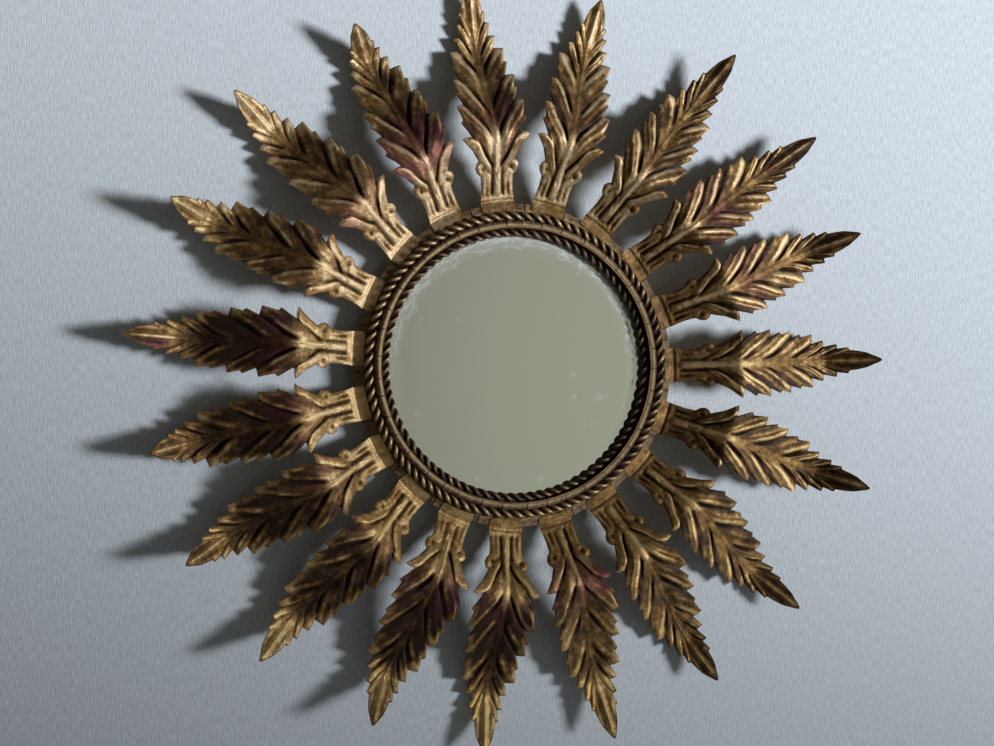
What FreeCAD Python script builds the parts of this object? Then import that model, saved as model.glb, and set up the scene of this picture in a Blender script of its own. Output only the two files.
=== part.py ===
"""Sunburst wall mirror: a round glass in a stepped hoop with two twisted ropes,
and nineteen pressed acanthus leaves soldered round it by their tabs."""
import FreeCAD
import Part
import math
import os
from FreeCAD import Vector

# Driving dimensions, in millimetres and degrees. Radii start at the mirror's centre and
# heights at the wall. The mirror is drawn lying on its back, with x to the right, y up and
# z towards the viewer, and is turned upright when it is written out.

# Glass and the layers behind it
SIGHT_RADIUS = 101.6
GLASS_THICKNESS = 3.0
GLASS_LAP = 8.4
FITTING_PLAY = 0.4
CARD_THICKNESS = 2.0
PLATE_THICKNESS = 0.8
SPACER_WIDTH = 11.5
SPACER_THICKNESS = 3.6

# Spun hoop
HOOP_SHEET = 0.9
RIM_HEIGHT = 24.0
LIP_HEIGHT = 13.9
LIP_SETBACK = 2.0
LAND_HEIGHT = 15.5
MIDDLE_FLANK_RUN = 5.0
OUTER_FLANK_RUN = 6.2
OUTER_FLANK_DROP = 3.3
HEM_WIDTH = 2.4
HEM_HEIGHT = 5.0

# Bands and ropes that dress the hoop
BAND_THICKNESS = 0.8
INNER_ROPE_RADIUS = 3.5
OUTER_ROPE_RADIUS = 3.7
ROPE_WAIST = 0.58
INNER_TWIST_COUNT = 41
OUTER_TWIST_COUNT = 45
STEPS_PER_TWIST = 6
SEAT_GAP = 0.1

# Leaf: sheet, tab and side profile, measured outward and forward from the fold
LEAF_SHEET = 0.8
TAB_SETBACK = 0.6
TAB_HALF_WIDTH = 13.5
TAB_CORNER = 3.0
FOLD_OVERHANG = 2.7
FOLD_LAP = 1.2
CREST_REACH = 47.0
CREST_RISE = 31.0
CREST_RADIUS = 5.0
TROUGH_REACH = 118.0
TROUGH_RISE = -2.0
TROUGH_RADIUS = 20.0
CURL_REACH = 136.0
CURL_RADIUS = 8.0
TIP_REACH = 170.0
BEND_STEPS = 2
RIB_HALF_WIDTH = 3.6
RIB_RISE = 1.6
GUTTER_ANGLE = 8.0

# Leaf outline, one side: reach from the fold as a share of TIP_REACH, and half width
ROOT = (-FOLD_LAP / TIP_REACH, TAB_HALF_WIDTH)
NECK = (0.070, 12.8)
SCROLL = ((0.112, 13.4), (0.147, 17.8), (0.176, 14.6))
HORN = ((0.232, 18.6), (0.276, 27.4))
# Each toothed lobe: the notch below it, its side tooth, the dip after that, its tip
TOOTHED_LOBES = (
    ((0.282, 18.2), (0.353, 26.4), (0.365, 24.2), (0.439, 27.2)),
    ((0.447, 20.4), (0.506, 25.0), (0.518, 22.8), (0.572, 25.0)),
    ((0.579, 18.8), (0.641, 22.4), (0.653, 20.2), (0.714, 22.0)),
)
# Each plain tooth towards the tip: the notch below it and its point
PLAIN_TEETH = (
    ((0.721, 14.2), (0.778, 17.0)),
    ((0.784, 11.4), (0.835, 13.6)),
    ((0.841, 9.8), (0.879, 10.9)),
)
LANCE = ((0.885, 8.6), (0.944, 6.2))

# Hand-made spread: tab moved round the hoop, leaf turned on its tab, leaf bent at the fold, and how
# far the tip runs out and rises past its bend
LEAVES = (
    (0.0, 1.0, -3.0, 39.0, 10.0), (0.5, -3.0, -2.0, 35.0, 10.0), (0.5, -9.0, 0.0, 41.0, 20.0),
    (0.0, -5.5, 1.0, 44.0, 15.0), (-1.3, 3.0, 0.0, 36.0, 26.0), (-1.8, 2.0, -3.0, 36.5, 29.0),
    (-1.9, -0.3, 3.0, 37.0, 29.0), (-1.5, -5.0, -3.0, 39.5, 23.0), (-1.4, -1.0, -3.0, 36.0, 21.0),
    (-1.4, 0.5, 0.0, 41.0, 15.0), (-0.5, -3.0, -3.0, 40.0, 21.0), (-0.3, -2.5, 2.0, 34.0, 32.0),
    (1.0, -5.0, 1.0, 37.0, 29.0), (1.8, -4.0, 2.0, 34.0, 30.0), (2.4, -1.0, 1.5, 27.0, 27.0),
    (1.9, 3.0, 1.5, 42.0, 18.5), (0.8, 2.5, 1.0, 32.0, 32.0), (0.0, 5.0, -2.0, 38.0, 25.5),
    (0.3, 1.5, -2.0, 26.0, 27.0),
)
FIRST_LEAF_ANGLE = 96.5

# Clips that hold the back plate in the hoop
CLIP_COUNT = 8
CLIP_WIDTH = 8.0
CLIP_SHEET = 0.8
CLIP_TONGUE = 11.0
CLIP_FOOT = 0.6

# Hanging bail, its lugs and their rivets
BAIL_WIRE_RADIUS = 1.3
BAIL_HALF_WIDTH = 18.0
BAIL_DROP = 30.0
BAIL_BEND = 3.5
BAIL_END = 29.0
BAIL_PIVOT_UP = 62.0
BAIL_PLAY = 0.06
LUG_SHEET = 0.9
LUG_START = 22.0
LUG_WIDTH = 6.0
LUG_FOOT = 12.0
RIVET_RADIUS = 1.4
RIVET_HEAD_RADIUS = 2.4
RIVET_HEAD_HEIGHT = 1.1
RIVET_PLAY = 0.05

# Places that follow from the sizes above
AXIS = Vector(0, 0, 1)
CENTRE = Vector(0, 0, 0)
LIP_RADIUS = SIGHT_RADIUS + LIP_SETBACK
WELL_RADIUS = SIGHT_RADIUS + 2 * INNER_ROPE_RADIUS + SEAT_GAP
RIM_RADIUS = WELL_RADIUS + HOOP_SHEET
FOOT_RADIUS = RIM_RADIUS + MIDDLE_FLANK_RUN
SHOULDER_RADIUS = FOOT_RADIUS + 2 * OUTER_ROPE_RADIUS + SEAT_GAP
WALL_RADIUS = SHOULDER_RADIUS + OUTER_FLANK_RUN
WALL_HEIGHT = LAND_HEIGHT - OUTER_FLANK_DROP
HEM_RADIUS = WALL_RADIUS - HEM_WIDTH
FOLD_RADIUS = WALL_RADIUS + FOLD_OVERHANG
GLASS_RADIUS = LIP_RADIUS + GLASS_LAP
GLASS_FRONT = LIP_HEIGHT - HOOP_SHEET
GLASS_BACK = GLASS_FRONT - GLASS_THICKNESS
CARD_BACK = GLASS_BACK - CARD_THICKNESS
PLATE_BACK = CARD_BACK - PLATE_THICKNESS
PLATE_RADIUS = HEM_RADIUS - FITTING_PLAY
LUG_RADIUS = BAIL_WIRE_RADIUS + BAIL_PLAY + LUG_SHEET
PIVOT_HEIGHT = PLATE_BACK - LUG_RADIUS
RIVET_UP = BAIL_PIVOT_UP + LUG_RADIUS + (LUG_FOOT - LUG_RADIUS) / 2


def lifted(points, y=0.0, rise=0.0):
    """Turn (radius, height) pairs into points of the upright plane at y."""
    return [Vector(r, y, h + rise) for r, h in points]


def polygon(points):
    return Part.Face(Part.makePolygon(points + [points[0]]))


def turned(section):
    """Spin a section given as (radius, height) pairs round the mirror's axis."""
    return polygon(lifted(section)).revolve(CENTRE, AXIS, 360)


def disc(radius, back, thickness):
    return Part.makeCylinder(radius, thickness, Vector(0, 0, back))


def offset_path(path, distance):
    """Move a path of (r, h) pairs sideways, to its left for a positive distance."""
    normals = []
    for (r0, h0), (r1, h1) in zip(path, path[1:]):
        length = math.hypot(r1 - r0, h1 - h0)
        normals.append((-(h1 - h0) / length, (r1 - r0) / length))
    moved = []
    for i, (r, h) in enumerate(path):
        before = normals[max(i - 1, 0)]
        after = normals[min(i, len(normals) - 1)]
        share = distance / (1 + before[0] * after[0] + before[1] * after[1])
        moved.append((r + (before[0] + after[0]) * share, h + (before[1] + after[1]) * share))
    return moved


def strip_section(path, near, far):
    """Closed section of a sheet between two offsets of one path."""
    return offset_path(path, near) + offset_path(path, far)[::-1]


def rounded(before, corner, after, radius, steps):
    """Points of the arc that rounds one corner of a path."""
    start = math.atan2(before[1] - corner[1], before[0] - corner[0])
    end = math.atan2(after[1] - corner[1], after[0] - corner[0])
    opening = (end - start + math.pi) % (2 * math.pi) - math.pi
    reach = radius / math.sin(abs(opening) / 2)
    middle = start + opening / 2
    centre = (corner[0] + reach * math.cos(middle), corner[1] + reach * math.sin(middle))
    half_sweep = math.copysign((math.pi - abs(opening)) / 2, opening)
    points = []
    for i in range(steps + 1):
        angle = middle + math.pi + half_sweep * (1 - 2 * i / steps)
        points.append((centre[0] + radius * math.cos(angle), centre[1] + radius * math.sin(angle)))
    return points


def frame_hoop():
    """Stepped spun ring: hemmed wall, two flanks with a land between, well and glass lip."""
    front = [(WALL_RADIUS, 0), (WALL_RADIUS, WALL_HEIGHT), (SHOULDER_RADIUS, LAND_HEIGHT),
             (FOOT_RADIUS, LAND_HEIGHT), (RIM_RADIUS, RIM_HEIGHT)]
    steps = turned(strip_section(front, 0, HOOP_SHEET))
    well = turned([(RIM_RADIUS, RIM_HEIGHT), (WELL_RADIUS, RIM_HEIGHT), (WELL_RADIUS, LIP_HEIGHT),
                   (LIP_RADIUS, LIP_HEIGHT), (LIP_RADIUS, GLASS_FRONT), (RIM_RADIUS, GLASS_FRONT)])
    hem = turned([(HEM_RADIUS, 0), (WALL_RADIUS, 0), (WALL_RADIUS, HEM_HEIGHT), (HEM_RADIUS, HEM_HEIGHT)])
    return steps.fuse([well, hem]).removeSplitter()


def band(top, bottom):
    """Strip laid on one of the hoop's flanks."""
    return turned(strip_section([top, bottom], SEAT_GAP, SEAT_GAP + BAND_THICKNESS))


def middle_band():
    return band((RIM_RADIUS, RIM_HEIGHT), (FOOT_RADIUS, LAND_HEIGHT))


def outer_band():
    return band((SHOULDER_RADIUS, LAND_HEIGHT), (WALL_RADIUS, WALL_HEIGHT))


def twisted_rope(ring_radius, floor, rope_radius, twists):
    """Closed ring of two wires twisted together, as a turning two-lobed section."""
    height = floor + SEAT_GAP + rope_radius
    lobe = rope_radius
    waist = rope_radius * ROPE_WAIST
    section = (lobe, waist, lobe, waist)
    corners = len(section)
    count = twists * STEPS_PER_TWIST
    rows = []
    for i in range(count):
        around = 2 * math.pi * i / count
        row = []
        for corner, reach in enumerate(section):
            turn = 2 * math.pi * (corner / corners - i / STEPS_PER_TWIST)
            r = ring_radius + reach * math.cos(turn)
            z = height + reach * math.sin(turn)
            row.append(Vector(r * math.cos(around), r * math.sin(around), z))
        rows.append(row)
    faces = []
    for i, row in enumerate(rows):
        following = rows[(i + 1) % count]
        for corner in range(corners):
            beside = (corner + 1) % corners
            faces.append(polygon([row[corner], row[beside], following[beside]]))
            faces.append(polygon([row[corner], following[beside], following[corner]]))
    shell = Part.Shell(faces)
    shell.sewShape()
    return Part.Solid(shell)


def inner_rope():
    return twisted_rope(SIGHT_RADIUS + INNER_ROPE_RADIUS, LIP_HEIGHT, INNER_ROPE_RADIUS, INNER_TWIST_COUNT)


def outer_rope():
    return twisted_rope(FOOT_RADIUS + OUTER_ROPE_RADIUS, LAND_HEIGHT, OUTER_ROPE_RADIUS, OUTER_TWIST_COUNT)


def mirror_glass():
    return disc(GLASS_RADIUS, GLASS_BACK, GLASS_THICKNESS)


def backing_card():
    return disc(GLASS_RADIUS, CARD_BACK, CARD_THICKNESS)


def spacer_ring():
    inside = GLASS_RADIUS + FITTING_PLAY
    ring = disc(inside + SPACER_WIDTH, CARD_BACK, SPACER_THICKNESS)
    return ring.cut(disc(inside, CARD_BACK, SPACER_THICKNESS))


def back_plate():
    plate = disc(PLATE_RADIUS, PLATE_BACK, PLATE_THICKNESS)
    for side in (-1, 1):
        plate = plate.cut(rivet_hole(side, PLATE_BACK, PLATE_THICKNESS))
    return plate


def retaining_clips():
    """Tongues soldered inside the hem and bent over the back plate."""
    outer = HEM_RADIUS - SEAT_GAP
    section = [(outer, CLIP_FOOT), (outer, PLATE_BACK), (outer - CLIP_TONGUE, PLATE_BACK),
               (outer - CLIP_TONGUE, PLATE_BACK - CLIP_SHEET),
               (outer - CLIP_SHEET, PLATE_BACK - CLIP_SHEET), (outer - CLIP_SHEET, CLIP_FOOT)]
    sweep = math.degrees(CLIP_WIDTH / outer)
    clip = polygon(lifted(section)).revolve(CENTRE, AXIS, sweep)
    clips = []
    for i in range(CLIP_COUNT):
        copy = clip.copy()
        copy.rotate(CENTRE, AXIS, 360 * (i + 0.5) / CLIP_COUNT - sweep / 2)
        clips.append(copy)
    return Part.makeCompound(clips)


def lug_centre(side):
    return side * (LUG_START + LUG_WIDTH / 2)


def rivet_hole(side, back, depth):
    place = Vector(lug_centre(side), RIVET_UP, back)
    return Part.makeCylinder(RIVET_RADIUS + RIVET_PLAY, depth, place)


def bail_lugs():
    """Two folded strips: a foot on the back plate and a knuckle round the bail's end."""
    lugs = []
    for side in (-1, 1):
        left = lug_centre(side) - LUG_WIDTH / 2
        pivot = Vector(left, BAIL_PIVOT_UP, PIVOT_HEIGHT)
        along = Vector(1, 0, 0)
        knuckle = Part.makeCylinder(LUG_RADIUS, LUG_WIDTH, pivot, along)
        foot = Part.makeBox(LUG_WIDTH, LUG_FOOT, LUG_SHEET,
                            Vector(left, BAIL_PIVOT_UP, PLATE_BACK - LUG_SHEET))
        bore = Part.makeCylinder(BAIL_WIRE_RADIUS + BAIL_PLAY, LUG_WIDTH, pivot, along)
        hole = rivet_hole(side, PLATE_BACK - LUG_SHEET, LUG_SHEET)
        lugs.append(knuckle.fuse(foot).cut(bore).cut(hole))
    return Part.makeCompound(lugs)


def lug_rivets():
    """Rivets with coned heads, flush with the front of the back plate."""
    rivets = []
    for side in (-1, 1):
        seat = Vector(lug_centre(side), RIVET_UP, PLATE_BACK - LUG_SHEET)
        shank = Part.makeCylinder(RIVET_RADIUS, LUG_SHEET + PLATE_THICKNESS, seat)
        head = Part.makeCone(RIVET_HEAD_RADIUS, RIVET_RADIUS, RIVET_HEAD_HEIGHT, seat, -AXIS)
        rivets.append(shank.fuse(head))
    return Part.makeCompound(rivets)


def hanger_bail():
    """Wire loop whose turned-out ends swing in the lugs; it hangs down at rest."""
    def at(x, drop):
        return Vector(x, BAIL_PIVOT_UP - drop, PIVOT_HEIGHT)

    bend_start = BAIL_HALF_WIDTH + BAIL_BEND
    bend_middle = BAIL_BEND * (1 - math.sqrt(0.5))
    loop_drop = BAIL_DROP - BAIL_HALF_WIDTH
    path = Part.Wire([
        Part.LineSegment(at(BAIL_END, 0), at(bend_start, 0)).toShape(),
        Part.Arc(at(bend_start, 0), at(BAIL_HALF_WIDTH + bend_middle, bend_middle),
                 at(BAIL_HALF_WIDTH, BAIL_BEND)).toShape(),
        Part.LineSegment(at(BAIL_HALF_WIDTH, BAIL_BEND), at(BAIL_HALF_WIDTH, loop_drop)).toShape(),
        Part.Arc(at(BAIL_HALF_WIDTH, loop_drop), at(0, BAIL_DROP), at(-BAIL_HALF_WIDTH, loop_drop)).toShape(),
        Part.LineSegment(at(-BAIL_HALF_WIDTH, loop_drop), at(-BAIL_HALF_WIDTH, BAIL_BEND)).toShape(),
        Part.Arc(at(-BAIL_HALF_WIDTH, BAIL_BEND), at(-BAIL_HALF_WIDTH - bend_middle, bend_middle),
                 at(-bend_start, 0)).toShape(),
        Part.LineSegment(at(-bend_start, 0), at(-BAIL_END, 0)).toShape(),
    ])
    wire_end = Part.Wire(Part.makeCircle(BAIL_WIRE_RADIUS, at(BAIL_END, 0), Vector(1, 0, 0)))
    return path.makePipeShell([wire_end], True, False)


def tab_path():
    """Back of a leaf's tab, on the outer band from its inner end to the fold and a little past."""
    slope = math.hypot(OUTER_FLANK_RUN, OUTER_FLANK_DROP)
    run, drop = OUTER_FLANK_RUN / slope, OUTER_FLANK_DROP / slope
    reach = (FOLD_RADIUS - SHOULDER_RADIUS) / run
    flank = [(SHOULDER_RADIUS + run * s, LAND_HEIGHT - drop * s) for s in (TAB_SETBACK, reach + LEAF_SHEET)]
    return offset_path(flank, BAND_THICKNESS + 2 * SEAT_GAP)


def fold_point():
    (r0, h0), (r1, h1) = tab_path()
    share = (FOLD_RADIUS - r0) / (r1 - r0)
    return FOLD_RADIUS, h0 + (h1 - h0) * share


def plan_prism(outline):
    """Upright prism over an outline in the plane of the wall."""
    depth = TIP_REACH
    face = Part.Face(Part.Wire(outline))
    face.translate(Vector(0, 0, -depth))
    return face.extrude(Vector(0, 0, 3 * depth))


def leaf_tab():
    """Tab bent to the band's cone, with rounded inner corners."""
    ring = turned(strip_section(tab_path(), 0, LEAF_SHEET))
    inner = tab_path()[0][0]
    cut = TAB_CORNER * (1 - math.sqrt(0.5))
    corner_in = inner + TAB_CORNER
    side = TAB_HALF_WIDTH - TAB_CORNER
    lines = [Vector(inner, -side, 0), Vector(inner, side, 0),
             Vector(corner_in, TAB_HALF_WIDTH, 0), Vector(2 * inner, TAB_HALF_WIDTH, 0),
             Vector(2 * inner, -TAB_HALF_WIDTH, 0), Vector(corner_in, -TAB_HALF_WIDTH, 0)]
    outline = [
        Part.LineSegment(lines[0], lines[1]).toShape(),
        Part.Arc(lines[1], Vector(inner + cut, TAB_HALF_WIDTH - cut, 0), lines[2]).toShape(),
        Part.LineSegment(lines[2], lines[3]).toShape(),
        Part.LineSegment(lines[3], lines[4]).toShape(),
        Part.LineSegment(lines[4], lines[5]).toShape(),
        Part.Arc(lines[5], Vector(inner + cut, cut - TAB_HALF_WIDTH, 0), lines[0]).toShape(),
    ]
    return ring.common(plan_prism(outline))


def leaf_outline(tip_run):
    """Closed edge of the blade in plan: neck, scroll bumps, horns, toothed lobes and lance tip."""
    edges = []
    squeeze = tip_run / (TIP_REACH - CURL_REACH)
    for side in (1, -1):
        def at(point):
            reach = point[0] * TIP_REACH
            past_bend = max(reach - CURL_REACH, 0)
            return Vector(FOLD_RADIUS + reach + past_bend * (squeeze - 1), side * point[1], 0)

        def line(a, b):
            edges.append(Part.LineSegment(at(a), at(b)).toShape())

        def arc(a, b, c):
            edges.append(Part.Arc(at(a), at(b), at(c)).toShape())

        line(ROOT, NECK)
        line(NECK, SCROLL[0])
        arc(*SCROLL)
        arc(SCROLL[2], *HORN)
        teeth = [point for lobe in TOOTHED_LOBES + PLAIN_TEETH for point in lobe]
        saw = [HORN[1]] + teeth + [LANCE[0]]
        for a, b in zip(saw, saw[1:]):
            line(a, b)
        arc(LANCE[0], LANCE[1], (1, 0))
    corners = [Vector(FOLD_RADIUS - FOLD_LAP, side * TAB_HALF_WIDTH, 0) for side in (-1, 1)]
    edges.append(Part.LineSegment(*corners).toShape())
    return Part.__sortEdges__(edges)


def leaf_blade(tip_run, tip_rise):
    """Pressed blade: rises to a crest, dips to a flat trough and curls up again at the tip."""
    fold_r, fold_h = fold_point()
    fold = (0.0, 0.0)
    crest = (CREST_REACH, CREST_RISE)
    trough = (TROUGH_REACH, TROUGH_RISE)
    bend = (CURL_REACH, TROUGH_RISE)
    overrun = 1 + LEAF_SHEET / tip_run
    tip = (CURL_REACH + tip_run * overrun, TROUGH_RISE + tip_rise * overrun)
    path = [(-FOLD_LAP, -FOLD_LAP * CREST_RISE / CREST_REACH)]
    path += rounded(fold, crest, trough, CREST_RADIUS, BEND_STEPS)
    path += rounded(crest, trough, bend, TROUGH_RADIUS, BEND_STEPS)
    path += rounded(trough, bend, tip, CURL_RADIUS, BEND_STEPS)
    path.append(tip)
    sheet = strip_section([(fold_r + x, fold_h + z) for x, z in path], 0, LEAF_SHEET)
    half_width = max(HORN[1][1], max(lobe[3][1] for lobe in TOOTHED_LOBES)) + LEAF_SHEET
    wing = half_width - RIB_HALF_WIDTH
    strips = []
    for side in (-1, 1):
        rib = polygon(lifted(sheet, 0, RIB_RISE))
        strips.append(rib.extrude(Vector(0, side * RIB_HALF_WIDTH, -RIB_RISE)))
        flank = polygon(lifted(sheet, side * RIB_HALF_WIDTH))
        rise = wing * math.tan(math.radians(GUTTER_ANGLE))
        strips.append(flank.extrude(Vector(0, side * wing, rise)))
    folded = strips[0].fuse(strips[1:]).removeSplitter()
    return folded.common(plan_prism(leaf_outline(tip_run)))


def leaf(tab, order, shift, lean, bend, tip_run, tip_rise):
    """One leaf of the burst, bent at its fold, turned on its tab and set round the hoop."""
    fold_r, fold_h = fold_point()
    bent = leaf_blade(tip_run, tip_rise)
    bent.rotate(Vector(fold_r, 0, fold_h), Vector(0, -1, 0), bend)
    whole = tab.fuse(bent)
    (r0, h0), (r1, h1) = tab_path()
    tab_middle = Vector((r0 + r1) / 2, 0, (h0 + h1) / 2)
    whole.rotate(tab_middle, Vector(h0 - h1, 0, r1 - r0), lean)
    whole.rotate(CENTRE, AXIS, FIRST_LEAF_ANGLE - 360 * order / len(LEAVES) + shift)
    return whole


def all_leaves():
    tab = leaf_tab()
    return {f"leaf_{i + 1:02d}": leaf(tab, i, *spread) for i, spread in enumerate(LEAVES)}


def main():
    makers = (frame_hoop, outer_band, middle_band, outer_rope, inner_rope, mirror_glass, backing_card,
              spacer_ring, back_plate, retaining_clips, bail_lugs, lug_rivets, hanger_bail)
    nodes = {maker.__name__: maker() for maker in makers}
    nodes.update(all_leaves())
    os.makedirs("parts", exist_ok=True)
    for name, shape in nodes.items():
        shape.rotate(CENTRE, Vector(1, 0, 0), 90)
        shape.exportStep(f"parts/{name}.step")
        print(name, len(shape.Solids), "solids", len(shape.Faces), "faces", shape.isValid(),
              round(shape.Volume, 1), "mm3")


main()
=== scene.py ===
"""Looks of the sunburst mirror: pressed acanthus leaves, twisted ropes, scored bands and aged
glass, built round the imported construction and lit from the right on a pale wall."""
import math

import bpy
import numpy as np
from mathutils import Matrix, Vector


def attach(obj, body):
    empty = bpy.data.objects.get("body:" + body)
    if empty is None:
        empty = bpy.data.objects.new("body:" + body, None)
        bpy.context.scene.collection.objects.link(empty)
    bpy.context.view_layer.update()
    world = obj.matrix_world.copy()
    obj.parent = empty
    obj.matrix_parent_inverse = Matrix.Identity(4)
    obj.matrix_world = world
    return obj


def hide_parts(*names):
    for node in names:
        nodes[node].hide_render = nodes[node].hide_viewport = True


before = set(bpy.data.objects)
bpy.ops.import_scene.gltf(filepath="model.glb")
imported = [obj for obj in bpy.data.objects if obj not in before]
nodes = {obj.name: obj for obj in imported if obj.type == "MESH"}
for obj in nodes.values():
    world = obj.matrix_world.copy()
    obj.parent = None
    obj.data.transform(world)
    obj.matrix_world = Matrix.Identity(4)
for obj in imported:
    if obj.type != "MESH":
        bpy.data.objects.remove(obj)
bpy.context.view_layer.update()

# Sizes in millimetres and degrees, as in the construction; meshes are written in metres.
MM = 0.001
BODY = "mirror"

# Ring that the trim sits on: radii from the mirror's centre, heights from the wall
SIGHT_RADIUS = 101.6
RIM_RADIUS = 109.6
RIM_HEIGHT = 24.0
FOOT_RADIUS = 114.6
LAND_HEIGHT = 15.5
SHOULDER_RADIUS = 122.1
WALL_RADIUS = 128.3
WALL_HEIGHT = 12.2
LIP_HEIGHT = 13.9
SEAT_GAP = 0.1
BAND_THICKNESS = 0.8

# Ropes: two wires each
INNER_ROPE_RADIUS = 3.5
OUTER_ROPE_RADIUS = 3.7
INNER_TWIST_COUNT = 41
OUTER_TWIST_COUNT = 45
ROPE_STEPS = 12
WIRE_SIDES = 10

# Scored joints of the bands
JOINT_COUNT = 41
JOINT_HALF_WIDTH = 0.45
JOINT_DEPTH = 0.5
JOINT_LIP = 0.35

# Leaf: sheet, tab and side profile, measured outward and forward from the fold
FOLD_RADIUS = 131.0
LEAF_SHEET = 0.8
TAB_INNER_RADIUS = 122.63
TAB_HALF_WIDTH = 13.5
TAB_CORNER = 3.0
CREST_REACH = 47.0
CREST_RISE = 31.0
CREST_SOFTNESS = 8.0
# Leaves whose crest is a crisper fold
CRISP_CREST = {5: 4.0, 6: 1.4, 7: 3.0, 16: 5.0}
TROUGH_REACH = 118.0
TROUGH_RISE = -2.0
TROUGH_SOFTNESS = 4.0
CURL_REACH = 136.0
CURL_SOFTNESS = 2.2
FOLD_SOFTNESS = 0.8
TIP_REACH = 170.0

# Leaf outline, one side: reach from the fold as a share of TIP_REACH, and half width
NECK = ((0.0, 13.5), (0.070, 12.8), (0.112, 13.4))
SCROLL = ((0.128, 16.4), (0.147, 17.8), (0.164, 17.0), (0.176, 14.6))
HORN = ((0.226, 19.8), (0.276, 27.4))
# Each toothed lobe: the notch below it, its side tooth, the dip after that, its tip
TOOTHED_LOBES = (
    ((0.282, 18.2), (0.353, 26.4), (0.365, 24.2), (0.439, 27.2)),
    ((0.447, 20.4), (0.506, 25.0), (0.518, 22.8), (0.572, 25.0)),
    ((0.579, 18.8), (0.641, 22.4), (0.653, 20.2), (0.714, 22.0)),
)
# Each plain tooth towards the tip: the notch below it and its point
PLAIN_TEETH = (
    ((0.721, 14.2), (0.778, 17.0)),
    ((0.784, 11.4), (0.835, 13.6)),
    ((0.841, 9.8), (0.879, 10.9)),
)
LANCE = ((0.885, 8.6), (0.915, 7.7), (0.944, 6.2), (0.972, 3.7), (1.0, 0.12))

# Pressing: veins curve out of the midrib, so that reach grows with a power of the distance aside
VEIN_SWEEP = 3.7
VEIN_CURVE = 0.75
VEIN_TURN = 24.0
# Horn, three toothed lobes and three teeth: each is a pad that swells from the notch below it to a
# ridge and drops steeply into the notch above
PAD_RISE = (1.8, 3.2, 3.2, 2.8, 2.1, 1.5, 0.9)
PAD_RIDGE = (0.66, 0.86)
PAD_GAIN = (0.55, 1.25)
# Eyes: dark pits where the notches meet the midrib, from the horn's notch to the lance
EYE_DEPTH = (0.8, 2.3, 2.4, 2.2, 1.8, 1.1, 0.6, 0.2)
EYE_BEHIND = 0.6
EYE_WIDTH = 3.0
CREASE_WIDTH = 1.2
# Half way out, neighbouring pads run together by up to this share
CALM = 0.85
CALM_ASIDE = 11.0
CALM_SPAN = 4.5
CALM_WIDTH = 5.0
# Pleats along each pad: how many, and their height as a share of the pad's
PLEATS = (1.8, 3.0)
PLEAT_RISE = 0.11
# Wander of the creases between rib and margin
MEANDER = 0.9
# Widths of the strokes of wear with painted highlight on the ridges, and of patina with painted shade in
# the valleys, as shares of a pad
RUB_AND_HIGHLIGHT_STROKE = 0.14
PATINA_AND_SHADE_STROKE = 0.2
# Fold of a toothed lobe between its two teeth
FOLD_DEPTH = 0.3
FOLD_WIDTH = 1.5
BAR_RISE = 1.2
BAR_HALF_WIDTH = 2.9
# Keel on the tip, and the hollows beside it
KEEL_START = 0.79
KEEL_GAIN = 0.9
KEEL_HOLLOW = 0.8
KEEL_HOLLOW_ASIDE = 4.2
# Flutes on the neck: distance from the middle, depth, and reach where they begin to fade and end
FLUTES = ((4.3, 1.8, 22.0, 44.0), (8.9, 1.3, 9.0, 20.0))
FLUTE_WIDTH = 1.3
VOLUTE_REACH = 24.8
VOLUTE_ASIDE = 14.8
VOLUTE_RADIUS = 3.2
VOLUTE_RISE = 0.8
VOLUTE_PIT = 1.6
MARGIN_DROP = 0.9
MARGIN_WIDTH = 2.6
# How far the lobes' edges curl forward: reach along the leaf, and lift at the widest lobe
EDGE_LIFT = ((0, 0.0), (40, 0.0), (48, 0.6), (66, 6.2), (97, 5.0),
             (121, 4.0), (134, 3.2), (152, 0.5), (170, 0.0))
WIDEST = 27.4
# Unevenness of the hand-pressed sheet: sizes of its waves, and their rise as a share of the size
WAVE_SIZES = (31.0, 19.0, 11.0, 5.5)
WAVE_RISE = 0.022
WAVE_ASPECT = 1.3
# Edges that bend more than this many degrees are drawn sharp
SHARP_ANGLE = 55.0
ROW_STEP = 0.85
FAN_STEP = 0.7
HALF_COLUMNS = 24

# Hand-made spread: tab moved round the hoop, leaf turned on its tab, leaf bent at the fold, and how
# far the tip runs out and rises past its bend
SPREAD = (
    (0.0, 1.0, -3.0, 39.0, 10.0), (0.5, -3.0, -2.0, 35.0, 10.0), (0.5, -9.0, 0.0, 41.0, 20.0),
    (0.0, -5.5, 1.0, 44.0, 15.0), (-1.3, 3.0, 0.0, 36.0, 26.0), (-1.8, 2.0, -3.0, 36.5, 29.0),
    (-1.9, -0.3, 3.0, 37.0, 29.0), (-1.5, -5.0, -3.0, 39.5, 23.0), (-1.4, -1.0, -3.0, 36.0, 21.0),
    (-1.4, 0.5, 0.0, 41.0, 15.0), (-0.5, -3.0, -3.0, 40.0, 21.0), (-0.3, -2.5, 2.0, 34.0, 32.0),
    (1.0, -5.0, 1.0, 37.0, 29.0), (1.8, -4.0, 2.0, 34.0, 30.0), (2.4, -1.0, 1.5, 27.0, 27.0),
    (1.9, 3.0, 1.5, 42.0, 18.5), (0.8, 2.5, 1.0, 32.0, 32.0), (0.0, 5.0, -2.0, 38.0, 25.5),
    (0.3, 1.5, -2.0, 26.0, 27.0),
)
FIRST_LEAF_ANGLE = 96.5
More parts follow.
